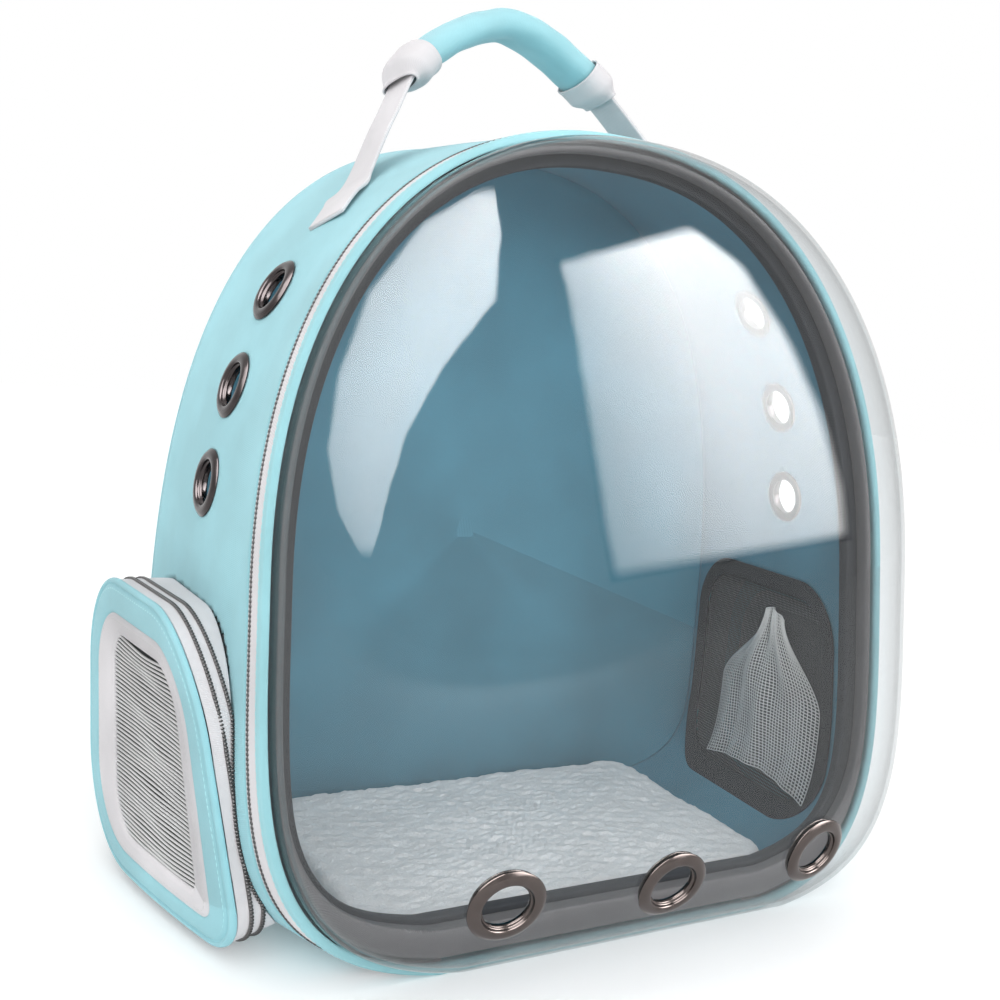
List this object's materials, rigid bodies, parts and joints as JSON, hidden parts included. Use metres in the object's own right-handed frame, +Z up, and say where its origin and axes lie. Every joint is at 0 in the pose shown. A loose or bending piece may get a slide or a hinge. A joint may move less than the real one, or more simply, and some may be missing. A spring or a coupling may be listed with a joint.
{
  "type": "bubble pet carrier backpack",
  "caption": "soft-sided backpack for carrying a small pet, with a clear bubble door, ringed air holes, side pockets with mesh windows, a top handle and padded shoulder straps",
  "frame": {"origin": "on the ground under the middle of the shell", "axes": "+X to the carrier's right seen from the bubble, +Y from the bubble to the back panel, +Z up"},
  "size_m": [0.4326, 0.2974, 0.4674],
  "materials": {
    "aqua_cloth": "fine woven polyester, matt",
    "grey_webbing": "woven tape, matt",
    "grey_binding": "twill tape, matt",
    "black_binding": "twill tape, matt",
    "clear_bubble": "clear moulded plastic, polished",
    "gunmetal": "dark nickel plate, glossy",
    "grey_mesh": "open knitted net",
    "plush": "short soft pile",
    "black_plastic": "moulded, satin"
  },
  "bodies": {
    "root": {"side_band": "aqua_cloth", "back_panel": "aqua_cloth", "front_rim": "aqua_cloth", "hinge_cloth": "aqua_cloth", "main_zip": "grey_webbing", "bubble_binding": "grey_binding", "shell_binding": "black_binding", "bubble": "clear_bubble", "eyelet_bubble_left": "gunmetal", "eyelet_bubble_middle": "gunmetal", "eyelet_bubble_right": "gunmetal", "eyelet_left_upper": "gunmetal", "eyelet_left_middle": "gunmetal", "eyelet_left_lower": "gunmetal", "eyelet_right_upper": "gunmetal", "eyelet_right_middle": "gunmetal", "eyelet_right_lower": "gunmetal", "pocket_left_face": "aqua_cloth", "pocket_left_border": "grey_webbing", "pocket_left_mesh": "grey_mesh", "pocket_left_gusset": "grey_webbing", "pocket_left_zip_outer": "black_binding", "pocket_left_zip_inner": "black_binding", "pocket_right_face": "aqua_cloth", "pocket_right_border": "grey_webbing", "pocket_right_mesh": "grey_mesh", "pocket_right_gusset": "grey_webbing", "pocket_right_zip_outer": "black_binding", "pocket_right_zip_inner": "black_binding", "window_left_binding": "black_binding", "window_left_mesh": "grey_mesh", "window_right_binding": "black_binding", "window_right_mesh": "grey_mesh", "mat_base": "grey_binding", "mat_plush": "plush", "handle_webbing": "grey_webbing", "handle_grip": "aqua_cloth", "handle_cuff_left": "grey_webbing", "handle_cuff_right": "grey_webbing", "strap_left_pad": "aqua_cloth", "strap_left_adjuster": "black_plastic", "strap_left_webbing": "grey_webbing", "strap_right_pad": "aqua_cloth", "strap_right_adjuster": "black_plastic", "strap_right_webbing": "grey_webbing"}
  },
  "joints": []
}
